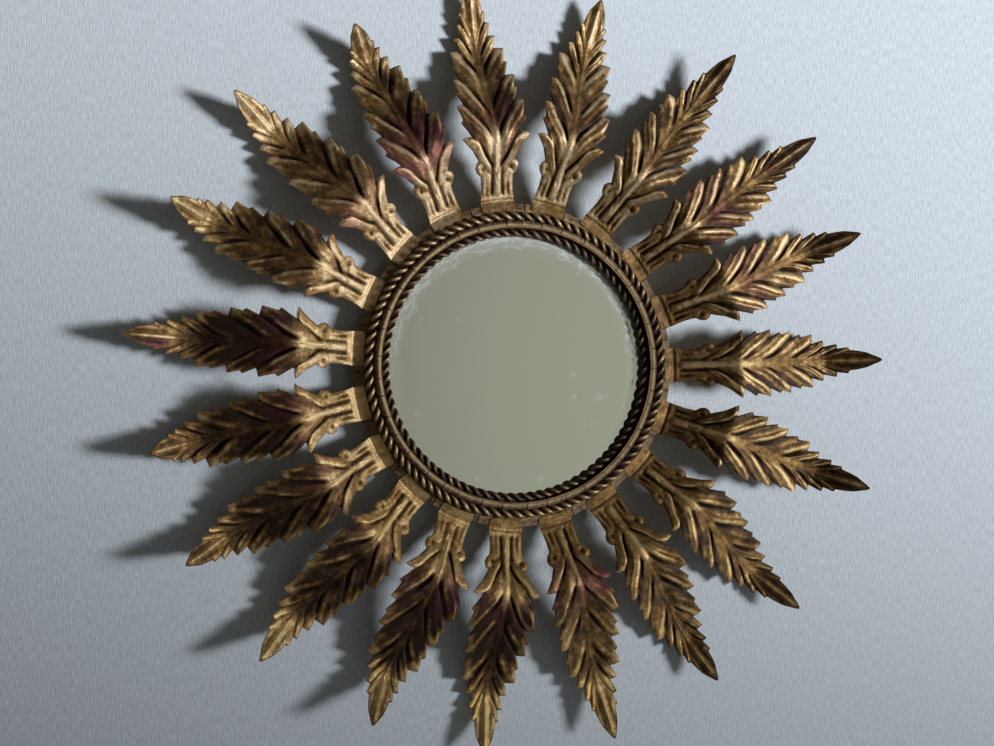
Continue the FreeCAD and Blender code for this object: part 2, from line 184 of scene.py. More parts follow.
# Wine-red lacquer left on each leaf: strength, and where it is strongest as a share of the reach
LACQUER = (
    (0.55, 0.36), (0.4, 0.42), (0.1, 0.3), (0.6, 0.42), (0.55, 0.42), (0.2, 0.40), (0.15, 0.35),
    (0.3, 0.33), (0.15, 0.3), (0.7, 0.27), (0.55, 0.35), (0.6, 0.34), (0.35, 0.28), (0.5, 0.30),
    (0.55, 0.34), (0.6, 0.38), (0.45, 0.33), (0.5, 0.28), (0.9, 0.33),
)
LACQUER_SPREAD = 0.16
# Brown patina left on each blade, with painted shade added on the leaves at the bottom and left, away from
# the lamp; below zero it is rubbed paler, as it is on the necks
PATINA_AND_SHADE = (0.25, 0.25, 0.25, 0.25, 0.05, 0.0, 0.1, 0.25, 0.45, 0.5,
          1.25, 1.35, 1.1, 1.0, 1.1, 1.3, 0.6, 0.4, 0.5)
# Tips, as painted light and shade: above zero painted shade, below zero painted light
TIP_SHADE_AND_LIGHT = (-0.8, -0.3, 0.4, 0.8, 0.5, 0.3, 0.4, 0.2, 0.1, -0.8,
              -1.2, -0.9, -0.9, -0.2, -0.2, -0.1, -0.8, -0.9, -0.6)
# Leaves that are darker on one half: above zero on the half that lies counterclockwise
SIDE_TONE = {1: -0.45, 2: 0.25, 5: 0.2, 12: 0.2, 19: -0.25}
# The gilding is creamiest on the leaf at this angle and yellowest on the one across from it
CREAM_ANGLE = 100.0
# Leaves at the top and right, on the lamp's side, whose pressing shows little shading: painted highlight on
# their ridges and painted shade in their hollows, stronger than on the rest; their pleats are pressed
# deeper too
PAINTED_LIGHT_GAIN = {1: 1.2, 2: 1.35, 3: 1.35, 4: 1.4, 5: 1.45, 6: 1.5, 7: 1.4, 8: 1.2, 9: 1.15}
# Necks are rubbed pale; on the right, turned away from the lamp, they get painted shade, and at the top
# painted light
NECK_RUB = -0.7
NECK_PAINTED_SHADE_RIGHT = 0.55
NECK_PAINTED_LIGHT_TOP = -0.3
# Tabs are rubbed pale; painted light makes them palest on the shaded left of the ring, and painted shade
# darkens them on the right
TAB_RUB = -0.55
TAB_PAINTED_LIGHT_TURN = 0.75
RED_TIP_LEAF = 16
RED_TIP = (0.75, 0.87)
RED_TIP_SPREAD = 0.08

# Blisters in the silvering, low on the glass, in metres: across, up and radius
BLISTERS = ((0.0205, -0.0905, 0.0042), (-0.0315, -0.0900, 0.0030), (0.048, -0.025, 0.0022))

# Camera, in metres, and the photograph's frame in pixels
CAMERA_PLACE = (-0.308, -1.412, -0.0134)
CAMERA_FORWARD = (0.205, 0.979, 0.005)
FOCAL_PIXELS = 1800.0
FRAME_WIDTH = 994
SENSOR_WIDTH = 36.0

# Stage and lamps, in metres, degrees and watts
WALL_BACK = 0.004
STAGE_HALF = 3.0
FLOOR_LEVEL = -0.62
KEY_PLACE = (2.75, -2.5, -0.125)
KEY_TARGET = (0.354, 0.0, 1.66)
KEY_CONE = 75.2
KEY_RADIUS = 0.38
KEY_POWER = 1060.0
BACK_PLACE = (0.6, 1.6, 0.6)
BACK_SIZE = 1.2
BACK_POWER = 6.0
# Pale part of the room that the glass shows
GLOW_DIRECTION = (0.36, -0.933, 0.0)


def smooth(low, high, x):
    t = np.clip((x - low) / (high - low), 0.0, 1.0)
    return t * t * (3 - 2 * t)


def bump(x, width):
    return np.exp(-(x / width) ** 2)


def soft_min(a, b, softness):
    """Lower of two heights, with the corner rounded."""
    share = np.clip(0.5 + 0.5 * (b - a) / softness, 0.0, 1.0)
    return b + (a - b) * share - softness * share * (1 - share)


def soft_max(a, b, softness):
    return -soft_min(-a, -b, softness)


def upright(points):
    """Turn points drawn lying on the mirror's back, in millimetres, into the frame, in metres."""
    return np.stack([points[..., 0], -points[..., 2], points[..., 1]], axis=-1) * MM


def grid_faces(rows, columns, closed_rows=False, closed_columns=False, start=0):
    """Four-sided faces between neighbouring rows and columns of a grid of points."""
    faces = []
    for i in range(rows if closed_rows else rows - 1):
        for j in range(columns if closed_columns else columns - 1):
            a = i * columns + j
            b = i * columns + (j + 1) % columns
            c = (i + 1) % rows * columns + (j + 1) % columns
            d = (i + 1) % rows * columns + j
            faces.append((start + a, start + b, start + c, start + d))
    return faces


def add_piece(name, points, faces, material, node, attributes):
    """Mesh object that stands for a node and rides on the mirror, with values for its finish."""
    mesh = bpy.data.meshes.new(name)
    mesh.from_pydata(points.reshape(-1, 3).tolist(), [], faces)
    for key, values in attributes.items():
        layer = mesh.attributes.new(key, "FLOAT", "POINT")
        layer.data.foreach_set("value", np.ascontiguousarray(values, np.float32).ravel())
    mesh.materials.append(material)
    mesh.polygons.foreach_set("use_smooth", [True] * len(mesh.polygons))
    mesh.update()
    mesh.set_sharp_from_angle(angle=math.radians(SHARP_ANGLE))
    piece = bpy.data.objects.new(name, mesh)
    bpy.context.scene.collection.objects.link(piece)
    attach(piece, BODY)
    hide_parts(node)
    return piece


class Wire:
    """Output of a shader node that takes part in sums like a number."""

    def __init__(self, maker, socket):
        self.maker = maker
        self.socket = socket

    def out(self, name):
        return Wire(self.maker, self.socket.node.outputs[name])

    def math(self, operation, a, b):
        return self.maker.node("ShaderNodeMath", {"operation": operation}, {0: a, 1: b})

    def __add__(self, other):
        return self.math("ADD", self, other)

    def __radd__(self, other):
        return self.math("ADD", other, self)

    def __sub__(self, other):
        return self.math("SUBTRACT", self, other)

    def __rsub__(self, other):
        return self.math("SUBTRACT", other, self)

    def __mul__(self, other):
        return self.math("MULTIPLY", self, other)

    def __rmul__(self, other):
        return self.math("MULTIPLY", other, self)

    def step(self, low, high):
        """0 below low, 1 above high, smooth between; low may be above high."""
        return self.maker.node("ShaderNodeMapRange", {"interpolation_type": "SMOOTHSTEP"},
                               {"Value": self, "From Min": low, "From Max": high})


class Finish:
    """Material or world whose nodes are added by one method."""

    def __init__(self, owner):
        owner.use_nodes = True
        self.owner = owner
        self.tree = owner.node_tree
        self.tree.nodes.clear()

    def node(self, kind, settings=None, sockets=None, output=0):
        made = self.tree.nodes.new(kind)
        for key, value in (settings or {}).items():
            setattr(made, key, value)
        for key, value in (sockets or {}).items():
            if isinstance(value, Wire):
                self.tree.links.new(value.socket, made.inputs[key])
            else:
                made.inputs[key].default_value = value
        return Wire(self, made.outputs[output]) if made.outputs else None

    def attribute(self, name):
        return self.node("ShaderNodeAttribute", {"attribute_name": name}).out("Fac")

    def place(self):
        return self.node("ShaderNodeTexCoord").out("Object")

    def noise(self, scale, detail=3.0, roughness=0.55, vector=None):
        return self.node("ShaderNodeTexNoise", {}, {
            "Vector": vector or self.place(), "Scale": scale, "Detail": detail, "Roughness": roughness})

    def mix(self, factor, a, b):
        return self.node("ShaderNodeMix", {"data_type": "RGBA"}, {0: factor, 6: a, 7: b}, 2)

    def bump(self, height, distance, strength=1.0):
        return self.node("ShaderNodeBump", {}, {
            "Height": height, "Distance": distance, "Strength": strength})

    def surface(self, sockets):
        """Principled surface; returns the material."""
        shader = self.node("ShaderNodeBsdfPrincipled", {}, sockets)
        self.node("ShaderNodeOutputMaterial", {}, {"Surface": shader})
        return self.owner


def rgb(red, green, blue):
    return (red, green, blue, 1.0)


def new_finish(name):
    return Finish(bpy.data.materials.new(name))


def leaf_gold():
    """Worn antique gilt: dark brown in the hollows, as browning and painted shade, ochre on the flats,
    pale on the ridges, as wear and painted highlight, with wine-red lacquer left in patches."""
    make = new_finish("leaf_gold")
    hollow = make.attribute("hollow")
    ridge = make.attribute("ridge")
    lacquer = make.attribute("lacquer")
    patina_and_painted_light = make.attribute("patina_and_painted_light")
    edge = make.attribute("edge")
    cream = make.attribute("cream")
    cloud = make.noise(60.0, 4.0, 0.6)
    blotch = make.noise(230.0, 4.0, 0.65)
    crust = make.noise(560.0, 3.0, 0.7)
    grain = make.noise(1100.0, 2.0)
    patch = make.noise(34.0, 3.0, 0.5)
    mottle = 1.3 * (cloud - 0.5) + 1.1 * (blotch - 0.5) + 0.4 * (grain - 0.5)
    mottle = mottle - 0.30 * crust.step(0.58, 0.70)
    # Pale ridges are wear and painted highlight; dark hollows are patina and painted shade
    wear_and_painted_light = ridge * (1.7 * cloud + 0.8 * blotch - 0.45)
    tone = 0.49 + 0.60 * wear_and_painted_light - 0.60 * hollow - 0.42 * patina_and_painted_light * (1 - 0.4 * ridge) + mottle
    colour = make.mix(tone.step(-0.10, 0.28), rgb(0.022, 0.009, 0.003), rgb(0.085, 0.045, 0.015))
    colour = make.mix(tone.step(0.22, 0.62), colour, rgb(0.245, 0.142, 0.047))
    pale = make.mix(cream, rgb(0.56, 0.405, 0.175), rgb(0.59, 0.455, 0.285))
    colour = make.mix(tone.step(0.58, 1.05), colour, pale)
    stain = (lacquer * (1.9 * patch + 0.9 * blotch - 0.4) - 0.15 * ridge).step(0.22, 0.85)
    red = make.mix(tone.step(0.1, 0.75), rgb(0.045, 0.009, 0.011), rgb(0.185, 0.060, 0.054))
    red = make.mix(tone.step(0.7, 1.1), red, rgb(0.44, 0.25, 0.185))
    colour = make.mix(stain * 0.85, colour, red)
    # Dark outline along the sheet's edges: painted shade
    colour = make.mix(edge * 0.8, colour, rgb(0.035, 0.018, 0.008))
    shine = tone.step(0.1, 0.9)
    return make.surface({
        "Base Color": colour,
        "Metallic": 0.42 + 0.26 * shine,
        "Roughness": 0.59 - 0.08 * shine + 0.16 * (blotch - 0.5),
        "Normal": make.bump(grain + 1.8 * blotch + 0.8 * crust, 0.0005, 0.7),
        "Specular IOR Level": 0.35,
    })


def right_side_shade(make):
    """How far a point lies on the right of the ring, where its trim is painted darker as shade."""
    return make.node("ShaderNodeSeparateXYZ", {}, {0: make.place()}).out("X").step(0.03, 0.12)


def rope_gold(name, pale, wear):
    """Twisted wire: dark bronze with worn tops that carry a painted highlight; wear is where they start."""
    make = new_finish(name)
    top = make.attribute("top")
    blotch = make.noise(120.0)
    grain = make.noise(1100.0, 2.0)
    # Worn tops with a painted highlight, with less of both on the right of the ring as painted shade
    rub_and_highlight = (top * (0.55 + 0.8 * blotch) - 0.14 * right_side_shade(make)).step(wear, wear + 0.38)
    dark = make.mix(blotch.step(0.4, 0.65), rgb(0.020, 0.010, 0.005), rgb(0.050, 0.027, 0.013))
    colour = make.mix(rub_and_highlight, dark, rgb(*pale))
    return make.surface({
        "Base Color": colour,
        "Metallic": 0.4 + 0.3 * rub_and_highlight,
        "Roughness": 0.60 - 0.12 * rub_and_highlight + 0.1 * (grain - 0.5),
        "Normal": make.bump(grain, 0.0002, 0.5),
    })


def band_gold():
    """Flat gilt strip, paler on its edges and dark in its scored joints."""
    make = new_finish("band_gold")
    score = make.attribute("score")
    lip = make.attribute("lip")
    blotch = make.noise(260.0, 4.0, 0.65)
    grain = make.noise(1000.0, 2.0)
    # Wear on the band, with less of it on the right of the ring as painted shade
    wear_and_painted_light = blotch.step(0.34, 0.66) * (1 - 0.6 * right_side_shade(make))
    dark = make.mix(wear_and_painted_light, rgb(0.085, 0.048, 0.020), rgb(0.26, 0.180, 0.098))
    colour = make.mix(lip.step(0.3, 0.9) * 0.5, dark, rgb(0.42, 0.31, 0.17))
    colour = make.mix(score * 0.95, colour, rgb(0.025, 0.013, 0.006))
    return make.surface({
        "Base Color": colour,
        "Metallic": 0.35 - 0.2 * score,
        "Roughness": 0.62 + 0.14 * (blotch - 0.5) + 0.2 * score,
        "Normal": make.bump(grain + 2.0 * blotch, 0.0003, 0.6),
    })


def hoop_gold():
    """Spun ring: dull gilt gone brown."""
    make = new_finish("hoop_gold")
    blotch = make.noise(70.0)
    grain = make.noise(800.0, 2.0)
    colour = make.mix(blotch.step(0.35, 0.7), rgb(0.12, 0.070, 0.028), rgb(0.27, 0.18, 0.080))
    return make.surface({
        "Base Color": colour,
        "Metallic": 0.75,
        "Roughness": 0.46 + 0.2 * (blotch - 0.5),
        "Normal": make.bump(grain, 0.0003, 0.5),
    })


def silvered_glass():
    """Old mirror: grey silvering, clouded and flaking in streaks along the upper rim."""
    make = new_finish("silvered_glass")
    place = make.place()
    parts = make.node("ShaderNodeSeparateXYZ", {}, {0: place})
    radius = make.node("ShaderNodeVectorMath", {"operation": "LENGTH"}, {0: place}).out("Value")
    angle = make.node("ShaderNodeMath", {"operation": "ARCTAN2"}, {0: parts.out("X"), 1: parts.out("Z")})
    polar = make.node("ShaderNodeCombineXYZ", {}, {"X": angle * 8.0, "Y": radius * 260.0})
    streak = make.noise(1.0, 4.0, 0.65, polar)
    spots = make.noise(95.0, 1.0, 0.4)
    speck = make.noise(520.0, 3.0, 0.7)
    upper = (parts.out("Z") * 9.0).step(-0.75, 0.55)
    rim = radius.step(0.082, 0.1010) * upper
    cloud = 0.40 * radius.step(0.090, 0.1016) * upper
    flakes = 0.5 * (streak * 0.85 + speck * 0.15 + rim * 0.18).step(0.64, 0.72) * rim.step(0.02, 0.3)
    dots = 0.35 * spots.step(0.745, 0.78)
    haze = cloud + flakes + dots
    for x, z, size in BLISTERS:
        offset = make.node("ShaderNodeCombineXYZ", {}, {"X": parts.out("X") - x, "Y": parts.out("Z") - z})
        gap = make.node("ShaderNodeVectorMath", {"operation": "LENGTH"}, {0: offset}).out("Value")
        haze = haze + 0.7 * (1 - gap.step(0.4 * size, size)) * speck.step(0.3, 0.5)
    veil = 0.10 * make.noise(14.0).step(0.3, 0.75)
    return make.surface({
        "Base Color": make.mix(haze, rgb(0.71, 0.72, 0.675), rgb(0.52, 0.56, 0.55)),
        "Metallic": 1.0 - 0.75 * haze,
        "Roughness": 0.03 + veil * 0.5 + 0.35 * haze,
    })


def plain_finish(name, light, dark, metallic, roughness, scale, relief):
    """Hidden pieces: two tones of one colour with a fine grain."""
    make = new_finish(name)
    blotch = make.noise(scale)
    grain = make.noise(scale * 9.0, 2.0)
    return make.surface({
        "Base Color": make.mix(blotch.step(0.35, 0.7), rgb(*dark), rgb(*light)),
        "Metallic": metallic,
        "Roughness": roughness + 0.2 * (grain - 0.5),
        "Normal": make.bump(grain, relief, 0.5),
    })


GOLD = leaf_gold()
INNER_ROPE = rope_gold("inner_rope_gold", (0.27, 0.180, 0.105), 0.68)
OUTER_ROPE = rope_gold("outer_rope_gold", (0.37, 0.255, 0.130), 0.56)
BAND = band_gold()


def sheared(station, aside):
    """Reach of a point whose vein leaves the midrib at a station; veins lean more after the neck."""
    return station + smooth(0.0, VEIN_TURN, station) * VEIN_SWEEP * aside ** VEIN_CURVE


def station_of(share, half_width):
    """Where the vein through an outline point leaves the midrib."""
    stations = np.linspace(0.0, TIP_REACH, 2000)
    return float(np.interp(share * TIP_REACH, sheared(stations, half_width), stations))


LOBES = TOOTHED_LOBES + PLAIN_TEETH
OUTLINE = [(station_of(*p), p[1]) for p in
           NECK + SCROLL + HORN + tuple(q for lobe in LOBES for q in lobe) + LANCE]
TOOTH_FOLDS = [station_of(*lobe[2]) for lobe in TOOTHED_LOBES]
GROOVES = [station_of(*SCROLL[-1])] + [station_of(*lobe[0]) for lobe in LOBES] + [station_of(*LANCE[0])]


def leaf_stations():
    """Rows of the leaf: the tab, then every outline point with even steps between."""
    rows = list(np.linspace(TAB_INNER_RADIUS - FOLD_RADIUS, -0.9, 9))
    knots = [s for s, w in OUTLINE]
    for a, b in zip(knots, knots[1:]):
        step = FAN_STEP if a < VEIN_TURN else ROW_STEP
        rows += list(np.linspace(a, b, max(1, math.ceil((b - a) / step)), endpoint=False))
    return np.array(rows + [knots[-1]])


def half_widths(stations):
    width = np.interp(stations, [s for s, w in OUTLINE], [w for s, w in OUTLINE])
    inward = np.clip(stations - (TAB_INNER_RADIUS - FOLD_RADIUS), 0.0, TAB_CORNER)
    corner = TAB_CORNER - np.sqrt(TAB_CORNER ** 2 - (TAB_CORNER - inward) ** 2)
    return np.where(stations < 0, TAB_HALF_WIDTH - corner, width)


def leaf_profile(reach, tip_rise, crest_softness):
    """Rise of the sheet along the leaf: tab down to the fold, crest, flat trough and curled-up tip."""
    tab = reach * (WALL_HEIGHT - LAND_HEIGHT) / (WALL_RADIUS - SHOULDER_RADIUS)
    climb = reach * CREST_RISE / CREST_REACH
    fall = CREST_RISE + (reach - CREST_REACH) * (TROUGH_RISE - CREST_RISE) / (TROUGH_REACH - CREST_REACH)
    tip = TROUGH_RISE + (reach - CURL_REACH) * tip_rise / (TIP_REACH - CURL_REACH)
    ridge = soft_min(climb, fall, crest_softness)
    hollow = soft_max(ridge, soft_max(TROUGH_RISE, tip, CURL_SOFTNESS), TROUGH_SOFTNESS)
    return np.where(reach < CREST_REACH, soft_max(tab, ridge, FOLD_SOFTNESS), hollow)


def lobe_share(station):
    """Number of the lobe that a vein belongs to, and how far across that lobe it lies."""
    order = np.interp(station, GROOVES, np.arange(len(GROOVES)))
    lobe = np.minimum(order.astype(int), len(GROOVES) - 2)
    return lobe, order - lobe


def pressed_lobes(station, side, from_edge, painted_light_gain, dice):
    """Swelling of the pads, uneven from lobe to lobe, the pits and folds in them, and how far a
    point takes wear with a painted highlight on a ridge, or browning with painted shade in the valleys."""
    aside = np.abs(side)
    hand = (side > 0).astype(int)
    sway = np.sin(aside / 3.6 + station / 7.0 + dice.uniform(0, 2 * math.pi, 2)[hand])
    station = station + MEANDER * sway * smooth(2.0, 6.0, aside) * smooth(1.0, 6.0, from_edge)
    lobe, share = lobe_share(station)
    sides = (2, len(PAD_RISE))
    ridge = dice.uniform(*PAD_RIDGE, sides)[hand, lobe]
    rise = (dice.uniform(*PAD_GAIN, sides) * np.array(PAD_RISE))[hand, lobe]
    climb = np.sin(math.pi / 2 * np.clip(share / ridge, 0, 1) ** 0.65)
    drop = np.cos(math.pi / 2 * np.clip((share - ridge) / (1 - ridge), 0, 1) ** 1.2)
    fade = smooth(GROOVES[0] - 2.0, GROOVES[0] + 2.0, station)
    fade = fade * (1 - smooth(GROOVES[-1] - 1.0, GROOVES[-1], station))
    swell = np.where(share < ridge, climb, drop)
    beside = smooth(2.4, 5.0, aside) * (1 - smooth(6.0, 15.0, aside))
    eyes = np.zeros(station.shape)
    crease = np.zeros(station.shape)
    calm = np.zeros(station.shape)
    gains = dice.uniform(0.4, 1.2, (2, len(GROOVES)))
    merging = dice.uniform(0.0, CALM, (2, len(GROOVES)))
    for i, groove in enumerate(GROOVES):
        gap = min(b - a for a, b in zip(GROOVES, GROOVES[1:]) if groove in (a, b))
        past = (station - groove) / min(1.0, gap / 14.0)
        eyes += gains[hand, i] * EYE_DEPTH[i] * beside * bump(past + EYE_BEHIND, EYE_WIDTH)
        crease = np.maximum(crease, bump(past, CREASE_WIDTH))
        calm = np.maximum(calm, merging[hand, i] * bump(past, CALM_WIDTH))
    calm = calm * bump(aside - CALM_ASIDE, CALM_SPAN)
    swell = swell + (0.5 - swell) * calm
    count = dice.uniform(*PLEATS, sides)[hand, lobe]
    along = np.sqrt(np.clip(np.sin(math.pi * share), 0, 1))
    along = along * smooth(3.5, 9.0, aside) * smooth(0.0, 3.0, from_edge)
    pleat = (0.2 + 2.0 * (painted_light_gain - 1)) * np.cos(2 * math.pi * count * (share - ridge)) * along * fade
    folds = sum(bump(station - line, FOLD_WIDTH) for line in TOOTH_FOLDS)
    pits = eyes + FOLD_DEPTH * folds * smooth(8.0, 16.0, aside)
    pads = rise * (fade * (swell * smooth(1.5, 9.0, aside) - 0.45) + PLEAT_RISE * pleat)
    painted = fade * smooth(2.5, 7.0, aside) * (1 - calm)
    # Ridge strokes: wear and painted highlight, with more painted highlight on the stems of the first lobes
    # by the crest
    stem_highlight = 1 + 0.6 * (1 - smooth(1.0, 3.0, lobe + share)) * (1 - smooth(8.0, 18.0, aside))
    rub_and_highlight_stroke = bump((share - ridge) / RUB_AND_HIGHLIGHT_STROKE, 1.0) * (1 - 0.5 * smooth(14.0, 24.0, aside)) * stem_highlight
    # Valleys and creases: patina and painted shade
    patina_and_shade_valley = np.maximum(0.7 * crease, 0.6 * bump(share / PATINA_AND_SHADE_STROKE, 1.0))
    top = painted * rub_and_highlight_stroke + 0.3 * np.clip(pleat, 0, 1)
    return pads, pits * fade, top, painted * patina_and_shade_valley + 0.28 * np.clip(-pleat, 0, 1)


def midrib(reach, aside):
    """Rounded bar down the middle, narrower and lower along the blade."""
    along = smooth(CREST_REACH - 8.0, TROUGH_REACH, reach)
    share = reach / TIP_REACH
    keel = smooth(KEEL_START, KEEL_START + 0.07, share) * (1 - smooth(0.93, 1.0, share))
    bar = BAR_RISE * bump(aside, BAR_HALF_WIDTH * (1 - 0.4 * along))
    bar = bar * (1 - 0.5 * along) * (1 + KEEL_GAIN * keel)
    beside = KEEL_HOLLOW * keel * bump(aside - KEEL_HOLLOW_ASIDE, 1.8)
    return bar * smooth(3.0, 7.0, reach) * (1 - 0.9 * smooth(0.95, 1.0, share)) - beside


def flutes(reach, side, gains):
    """Flutes on the neck, deepest near the fold and uneven from side to side."""
    hand = (side > 0).astype(int)
    total = np.zeros(reach.shape)
    for k, (middle, depth, fades, ends) in enumerate(FLUTES):
        off_centre = np.abs(side) - middle * (1 - 0.25 * smooth(0.0, 44.0, reach))
        total -= depth * gains[hand, k] * bump(off_centre, FLUTE_WIDTH) * (1 - smooth(fades, ends, reach))
    return total * smooth(3.2, 6.5, reach)


def volute(reach, aside):
    """Small scroll on the neck's edge: a low dome with a pit beside it."""
    dome = np.clip(1 - (np.hypot(reach - VOLUTE_REACH, aside - VOLUTE_ASIDE) / VOLUTE_RADIUS) ** 2, 0, 1)
    pit = bump(np.hypot(reach - VOLUTE_REACH + 0.8, aside - VOLUTE_ASIDE + 3.0), 1.5)
    return VOLUTE_RISE * dome - VOLUTE_PIT * pit


def edge_lift(reach, aside):
    lift = np.interp(reach, [r for r, h in EDGE_LIFT], [h for r, h in EDGE_LIFT])
    return lift * (aside / WIDEST) ** 1.5


def leaf_angle(number):
    return FIRST_LEAF_ANGLE - 360.0 * (number - 1) / len(SPREAD) + SPREAD[number - 1][0]


def hammered(reach, side, dice):
    """Gentle unevenness of the sheet, in waves of several sizes."""
    total = np.zeros(reach.shape)
    for size in WAVE_SIZES:
        phase = dice.uniform(0, 2 * math.pi, 2)
        wave = np.sin(reach / size + phase[0]) * np.sin(side / size * WAVE_ASPECT + phase[1])
        total += WAVE_RISE * size * wave
    return total


def lacquer_on(number, share, side):
    """Red lacquer left on a leaf; one leaf has it on one half of its tip too."""
    strength, centre = LACQUER[number - 1]
    lacquer = strength * bump(share - centre, LACQUER_SPREAD)
    if number == RED_TIP_LEAF:
        lacquer = lacquer + RED_TIP[0] * bump(share - RED_TIP[1], RED_TIP_SPREAD) * smooth(-2.5, 2.5, side)
    return lacquer


def patina_and_painted_light_on(number, reach, side, worn, at_tip):
    """Browning of a leaf's blade, with painted shade on the leaves away from the lamp; painted shade on
    some tips and painted light on others; and the wear on its neck and tab, with painted light and shade by
    which way the leaf points.
    """
    turn = math.radians(leaf_angle(number))
    blade = PATINA_AND_SHADE[number - 1] * worn * (1 - at_tip) + TIP_SHADE_AND_LIGHT[number - 1] * at_tip
    # Rubbing on tab and neck, with painted light and shade by which way the leaf points
    tab_rub_and_light = TAB_RUB + TAB_PAINTED_LIGHT_TURN * math.cos(turn)
    neck_rub_and_light = NECK_RUB + NECK_PAINTED_SHADE_RIGHT * max(math.cos(turn), 0.0) + NECK_PAINTED_LIGHT_TOP * max(math.sin(turn), 0.0)
    neck = (1 - worn) * (1 - at_tip) * np.where(reach < 2.0, tab_rub_and_light, neck_rub_and_light)
    return blade + neck + worn * SIDE_TONE.get(number, 0.0) * np.tanh(side / 5)


def leaf_sheet(number):
    """Front of one leaf, lying flat on its fold, with the values that its finish needs."""
    dice = np.random.RandomState(100 + number)
    stations = leaf_stations()
    spacing = np.linspace(0.0, 1.0, HALF_COLUMNS + 1)
    half = 0.6 * spacing + 0.4 * (0.5 - 0.5 * np.cos(spacing * math.pi))
    across = np.concatenate([-half[:0:-1], half])[None, :]
    station = np.repeat(stations[:, None], across.size, axis=1)
    width = half_widths(stations)[:, None]
    side = width * across
    aside = np.abs(side)
    from_edge = width - aside
    reach = np.where(station < 0, station, sheared(station, aside))
    tip_run, tip_rise = SPREAD[number - 1][3:]
    past_bend = np.clip(reach - CURL_REACH, 0, None)
    plan = reach + past_bend * (tip_run / (TIP_REACH - CURL_REACH) - 1)
    blade = smooth(4.0, 14.0, reach)
    # Gain of this leaf's painted highlight and painted shade; it also deepens its pleats
    painted_light_gain = PAINTED_LIGHT_GAIN.get(number, 1.0)
    pads, pits, top, patina_and_shade_valley = pressed_lobes(station, side, from_edge, painted_light_gain, dice)
    rib = midrib(reach, aside) + flutes(reach, side, dice.uniform(0.5, 1.2, (2, len(FLUTES))))
    scroll = volute(reach, aside)
    shoulder = -0.7 * smooth(10.0, 13.5, aside) * smooth(4.4, 6.0, reach) * (1 - smooth(16.0, 24.0, reach))
    bead = 0.6 * bump(reach - 2.2, 0.8)
    wobble = hammered(reach, side, dice)
    margin = -MARGIN_DROP * (1 - smooth(0.0, MARGIN_WIDTH, from_edge)) * blade
    height = leaf_profile(reach, tip_rise, CRISP_CREST.get(number, CREST_SOFTNESS))
    height = height + LEAF_SHEET * 1.1 + edge_lift(reach, aside) + wobble * smooth(4.0, 25.0, reach)
    height = height + pads - pits + rib + scroll + shoulder + bead + margin
    sagitta = FOLD_RADIUS - np.sqrt(FOLD_RADIUS ** 2 - side ** 2)
    bowed = plan - sagitta * (1 - smooth(0.0, 12.0, reach))
    points = np.stack([FOLD_RADIUS + bowed, side, height], axis=-1)
    lobe = lobe_share(station)[0]
    hand = (side > 0).astype(int)
    stained = dice.uniform(0.0, 1.0, (2, len(PAD_RISE)))[hand, lobe]
    uneven = dice.uniform(-0.35, 0.35, (2, len(PAD_RISE)))[hand, lobe] * smooth(4.0, 9.0, aside)
    worn = smooth(1.0, 7.0, from_edge) * smooth(CREST_REACH - 8.0, CREST_REACH + 20.0, reach)
    at_tip = smooth(TROUGH_REACH, CURL_REACH + 4.0, reach)
    cream = 0.5 + 0.5 * math.cos(math.radians(leaf_angle(number) - CREAM_ANGLE))
    # Hollows of pits, flutes and valleys: patina and painted shade
    relief = rib + np.minimum(scroll, 0.0) - pits * painted_light_gain
    hollow = 1.3 - 1.3 * smooth(-1.5, -0.1, relief) + painted_light_gain * patina_and_shade_valley
    looks = {
        "hollow": hollow + 0.35 * stained * smooth(12.0, 22.0, aside),
        # Ridges: wear and painted highlight
        "ridge": np.maximum(painted_light_gain * top, smooth(0.3, 1.0, rib) * (1 - 0.8 * worn * (1 - at_tip))),
        "cream": np.full(reach.shape, cream),
        "lacquer": lacquer_on(number, reach / TIP_REACH, side),
        # Browning, with painted shade and light on the blades, tips, necks and tabs
        "patina_and_painted_light": patina_and_painted_light_on(number, reach, side, worn, at_tip) + worn * uneven,
        # Edge outline for the painted shade
        "edge": (1 - smooth(0.15, 0.7, from_edge)) * (reach > 3.0),
    }
    return points, reach, looks


def turned_about(points, centre, axis, degrees):
    turn = np.array(Matrix.Rotation(math.radians(degrees), 3, Vector(axis)))
    return (points - centre) @ turn.T + centre


def fold_height():
    """Height of the fold: on the outer slope, raised by the band and its seats."""
    drop = (LAND_HEIGHT - WALL_HEIGHT) / (WALL_RADIUS - SHOULDER_RADIUS)
    lift = (BAND_THICKNESS + 2 * SEAT_GAP) * math.hypot(1, drop)
    return LAND_HEIGHT - (FOLD_RADIUS - SHOULDER_RADIUS) * drop + lift


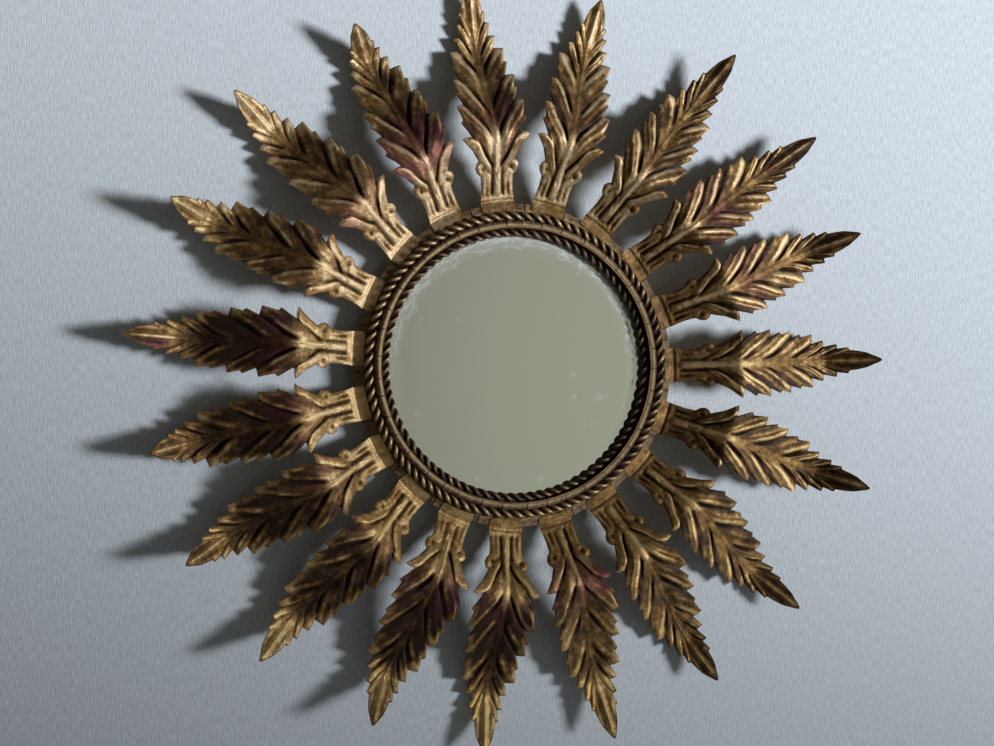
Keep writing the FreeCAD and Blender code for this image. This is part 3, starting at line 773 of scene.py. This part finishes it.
def leaf(number):
    lean, bend = SPREAD[number - 1][1:3]
    points, reach, looks = leaf_sheet(number)
    rows, columns = reach.shape
    fold = np.array([FOLD_RADIUS, 0.0, 0.0])
    bent = turned_about(points, fold, (0, -1, 0), bend)
    points = np.where((reach > 0)[..., None], bent, points)
    points[..., 2] += fold_height()
    along = np.gradient(points, axis=0)
    over = np.gradient(points, axis=1)
    normal = np.cross(along, over)
    normal /= np.maximum(np.linalg.norm(normal, axis=-1, keepdims=True), 1e-9)
    back = points - normal * LEAF_SHEET
    both = np.stack([points, back])
    slope = math.atan2(LAND_HEIGHT - WALL_HEIGHT, WALL_RADIUS - SHOULDER_RADIUS)
    middle = np.array([(TAB_INNER_RADIUS + FOLD_RADIUS) / 2, 0.0, LAND_HEIGHT])
    both = turned_about(both, middle, (math.sin(slope), 0, math.cos(slope)), lean)
    both = turned_about(both, np.zeros(3), (0, 0, 1), leaf_angle(number))
    count = rows * columns
    front = grid_faces(rows, columns)
    faces = front + [tuple(v + count for v in face[::-1]) for face in front]
    loop = list(range(columns)) + [i * columns + columns - 1 for i in range(1, rows)]
    loop += [(rows - 1) * columns + j for j in range(columns - 2, -1, -1)]
    loop += [i * columns for i in range(rows - 2, 0, -1)]
    for a, b in zip(loop, loop[1:] + loop[:1]):
        faces.append((b, a, a + count, b + count))
    doubled = {key: np.stack([values, values]) for key, values in looks.items()}
    name = f"leaf_{number:02d}"
    return add_piece(f"pressed_{name}", upright(both), faces, GOLD, name, doubled)


def rope(name, node, ring_radius, floor, rope_radius, twists, seed, finish):
    """Two wires twisted together and closed into a ring, with a slightly uneven lay."""
    dice = np.random.RandomState(seed)
    count = twists * ROPE_STEPS
    around = np.arange(count) * 2 * math.pi / count
    uneven = sum(dice.uniform(0.01, 0.05) * np.sin(k * around + dice.uniform(0, 6.28)) for k in range(3, 9))
    wire = rope_radius / 2
    height = floor + SEAT_GAP + rope_radius
    sides = np.arange(WIRE_SIDES) * 2 * math.pi / WIRE_SIDES
    points = []
    tops = []
    faces = []
    for strand in range(2):
        turn = -twists * (around + uneven / 6) + strand * math.pi
        out = np.stack([np.cos(turn), np.sin(turn)], axis=-1)
        r = ring_radius + wire * out[:, 0]
        line = np.stack([r * np.cos(around), r * np.sin(around), height + wire * out[:, 1]], axis=-1)
        along = np.roll(line, -1, axis=0) - np.roll(line, 1, axis=0)
        along /= np.linalg.norm(along, axis=-1, keepdims=True)
        outward = np.stack([out[:, 0] * np.cos(around), out[:, 0] * np.sin(around), out[:, 1]], axis=-1)
        outward -= along * np.sum(outward * along, axis=-1, keepdims=True)
        outward /= np.linalg.norm(outward, axis=-1, keepdims=True)
        across = np.cross(along, outward)
        ring = (outward[:, None, :] * np.cos(sides)[None, :, None]
                + across[:, None, :] * np.sin(sides)[None, :, None])
        faces += grid_faces(count, WIRE_SIDES, True, True, strand * count * WIRE_SIDES)
        points.append(line[:, None, :] + wire * 1.02 * ring)
        # How far each point faces out from its wire's axis: the worn tops that take the painted highlight
        tops.append(0.5 + 0.5 * (ring * outward[:, None, :]).sum(-1))
    return add_piece(name, upright(np.stack(points)), faces, finish, node,
                     {"top": np.stack(tops)})


def band(name, node, top, bottom, crown, seed):
    """Strip on one slope of the ring, scored across into short lengths like cane joints."""
    dice = np.random.RandomState(seed)
    spread = np.arange(JOINT_COUNT) + dice.uniform(-0.22, 0.22, JOINT_COUNT)
    joints = np.sort(spread * 2 * math.pi / JOINT_COUNT)
    middle_radius = (top[0] + bottom[0]) / 2
    offsets = np.array([-1.6, -1.0, -0.55, -0.2, 0.2, 0.55, 1.0, 1.6]) / middle_radius
    around = np.sort(np.concatenate([(joints[:, None] + offsets).ravel(),
                                     joints + math.pi / JOINT_COUNT * 0.7,
                                     joints + math.pi / JOINT_COUNT * 1.3]))
    apart = (around[:, None] - joints[None, :] + math.pi) % (2 * math.pi) - math.pi
    near = np.abs(apart).min(axis=1) * middle_radius
    score = bump(near, JOINT_HALF_WIDTH)
    lift = JOINT_LIP * bump(near - 1.0, 0.45) - JOINT_DEPTH * score
    run = np.array([bottom[0] - top[0], bottom[1] - top[1]])
    length = np.linalg.norm(run)
    run = run / length
    normal = np.array([-run[1], run[0]])
    section = [(0.0, 0.0, 0), (0.0, 0.5, 1)]
    for share in np.linspace(0.04, 0.96, 9):
        section.append((share * length, BAND_THICKNESS + crown * math.sin(math.pi * share ** 0.6), 1))
    section += [(length, 0.5, 1), (length, 0.0, 0)]
    points = []
    scores = []
    lips = []
    for s, rise, raised in section:
        level = SEAT_GAP + rise + raised * lift
        r = top[0] + run[0] * s + normal[0] * level
        h = top[1] + run[1] * s + normal[1] * level
        points.append(np.stack([r * np.cos(around), r * np.sin(around), h], axis=-1))
        scores.append(score * raised)
        lips.append(np.full(len(around), 1.0 if s < 0.5 or s > length - 0.5 else 0.0))
    grid = np.stack(points, axis=1)
    faces = grid_faces(len(around), len(section), True, True)
    return add_piece(name, upright(grid), faces, BAND, node,
                     {"score": np.stack(scores, axis=1), "lip": np.stack(lips, axis=1)})


def dress_construction():
    """Finishes for the pieces that keep their solid shape."""
    tin = plain_finish("painted_tin", (0.050, 0.040, 0.030), (0.028, 0.022, 0.017), 0.0, 0.55, 60.0, 0.0002)
    steel = plain_finish("plated_steel", (0.52, 0.49, 0.42), (0.30, 0.27, 0.22), 0.9, 0.42, 180.0, 0.0001)
    card = plain_finish("grey_card", (0.40, 0.37, 0.33), (0.31, 0.28, 0.24), 0.0, 0.9, 90.0, 0.0003)
    board = plain_finish("fibre_board", (0.30, 0.21, 0.13), (0.22, 0.15, 0.09), 0.0, 0.88, 120.0, 0.0004)
    finishes = {
        "frame_hoop": hoop_gold(),
        "mirror_glass": silvered_glass(),
        "backing_card": card,
        "spacer_ring": board,
        "back_plate": tin,
        "retaining_clips": tin,
        "bail_lugs": steel,
        "lug_rivets": steel,
        "hanger_bail": steel,
    }
    for name, finish in finishes.items():
        mesh = nodes[name].data
        mesh.materials.clear()
        mesh.materials.append(finish)


def wall_finish():
    """Pale woven covering with painted light, lighter to the upper left and lower right, see-through from
    behind and for lamps behind it.
    """
    make = new_finish("wall_cover")
    place = make.place()
    stretch = make.node("ShaderNodeVectorMath", {"operation": "MULTIPLY"},
                        {0: place, 1: (1000.0, 1.0, 150.0)})
    weft = make.node("ShaderNodeVectorMath", {"operation": "MULTIPLY"},
                     {0: place, 1: (110.0, 1.0, 700.0)})
    threads = make.noise(1.0, 2.0, 0.5, stretch)
    cross = make.noise(1.0, 2.0, 0.5, weft)
    weave = threads * 0.8 + cross * 0.2
    parts = make.node("ShaderNodeSeparateXYZ", {}, {0: place})
    # Painted light: lighter towards the upper left and lower right, darker towards the upper right and
    # lower left
    weave_and_painted_light = 0.5 + 0.34 * (weave.step(0.3, 0.7) - 0.5) - parts.out("X") * parts.out("Z")
    colour = make.mix(weave_and_painted_light, rgb(0.36, 0.405, 0.45), rgb(0.79, 0.868, 0.962))
    cloth = make.node("ShaderNodeBsdfDiffuse", {}, {
        "Color": colour, "Normal": make.bump(weave, 0.0008, 0.5)})
    behind = make.node("ShaderNodeNewGeometry").out("Backfacing")
    lamp_ray = make.node("ShaderNodeLightPath").out("Is Shadow Ray")
    through = make.node("ShaderNodeMath", {"operation": "MAXIMUM"}, {0: behind, 1: lamp_ray})
    clear = make.node("ShaderNodeBsdfTransparent")
    both = make.node("ShaderNodeMixShader", {}, {0: through, 1: cloth, 2: clear})
    make.node("ShaderNodeOutputMaterial", {}, {"Surface": both})
    return make.owner


def floor_finish():
    make = new_finish("pale_floor")
    return make.surface({
        "Base Color": make.mix(make.noise(3.0), rgb(0.66, 0.66, 0.65), rgb(0.70, 0.70, 0.69)),
        "Roughness": 0.8,
    })


def stage_plane(name, corners, finish):
    mesh = bpy.data.meshes.new(name)
    mesh.from_pydata(corners, [], [(0, 1, 2, 3)])
    mesh.materials.append(finish)
    plane = bpy.data.objects.new(name, mesh)
    bpy.context.scene.collection.objects.link(plane)


def hang_lamp(name, lamp, place, target):
    holder = bpy.data.objects.new(name, lamp)
    holder.location = place
    holder.rotation_euler = (Vector(target) - Vector(place)).to_track_quat("-Z", "Y").to_euler()
    bpy.context.scene.collection.objects.link(holder)


def area_lamp(name, place, target, size, power):
    lamp = bpy.data.lights.new(name, "AREA")
    lamp.size = size
    lamp.energy = power
    hang_lamp(name, lamp, place, target)


def spot_lamp(name, place, target, cone, radius, power):
    """Round lamp that fades smoothly from the middle of its cone to the edge."""
    lamp = bpy.data.lights.new(name, "SPOT")
    lamp.spot_size = math.radians(cone)
    lamp.spot_blend = 1.0
    lamp.shadow_soft_size = radius
    lamp.energy = power
    hang_lamp(name, lamp, place, target)


def light_stage():
    half = STAGE_HALF
    stage_plane("wall", [(-half, WALL_BACK, FLOOR_LEVEL), (half, WALL_BACK, FLOOR_LEVEL),
                         (half, WALL_BACK, half), (-half, WALL_BACK, half)], wall_finish())
    stage_plane("floor", [(-half, -half, FLOOR_LEVEL), (half, -half, FLOOR_LEVEL),
                          (half, half, FLOOR_LEVEL), (-half, half, FLOOR_LEVEL)], floor_finish())
    spot_lamp("key_lamp", KEY_PLACE, KEY_TARGET, KEY_CONE, KEY_RADIUS, KEY_POWER)
    area_lamp("back_lamp", BACK_PLACE, (0, 0, 0), BACK_SIZE, BACK_POWER)
    world = bpy.data.worlds.new("room")
    bpy.context.scene.world = world
    make = Finish(world)
    direction = make.node("ShaderNodeTexCoord").out("Generated")
    glow = make.node("ShaderNodeVectorMath", {"operation": "DOT_PRODUCT"},
                     {0: direction, 1: GLOW_DIRECTION}).out("Value")
    tone = make.mix(glow.step(0.93, 1.0), rgb(0.038, 0.031, 0.022), rgb(0.43, 0.445, 0.365))
    shade = make.node("ShaderNodeBackground", {}, {"Color": tone, "Strength": 1.0})
    make.node("ShaderNodeOutputWorld", {}, {"Surface": shade})


def set_camera():
    data = bpy.data.cameras.new("camera")
    data.sensor_width = SENSOR_WIDTH
    data.sensor_fit = "HORIZONTAL"
    data.lens = FOCAL_PIXELS / FRAME_WIDTH * SENSOR_WIDTH
    camera = bpy.data.objects.new("camera", data)
    camera.location = CAMERA_PLACE
    camera.rotation_euler = Vector(CAMERA_FORWARD).to_track_quat("-Z", "Y").to_euler()
    bpy.context.scene.collection.objects.link(camera)
    bpy.context.scene.camera = camera


for leaf_number in range(1, len(SPREAD) + 1):
    leaf(leaf_number)
rope("twisted_inner_rope", "inner_rope", SIGHT_RADIUS + INNER_ROPE_RADIUS, LIP_HEIGHT,
     INNER_ROPE_RADIUS, INNER_TWIST_COUNT, 7, INNER_ROPE)
rope("twisted_outer_rope", "outer_rope", FOOT_RADIUS + OUTER_ROPE_RADIUS, LAND_HEIGHT,
     OUTER_ROPE_RADIUS, OUTER_TWIST_COUNT, 8, OUTER_ROPE)
band("scored_middle_band", "middle_band", (RIM_RADIUS, RIM_HEIGHT), (FOOT_RADIUS, LAND_HEIGHT), 2.0, 11)
band("scored_outer_band", "outer_band", (SHOULDER_RADIUS, LAND_HEIGHT), (WALL_RADIUS, WALL_HEIGHT), 0.1, 12)
dress_construction()
light_stage()
set_camera()
bpy.context.scene.view_settings.view_transform = "Standard"
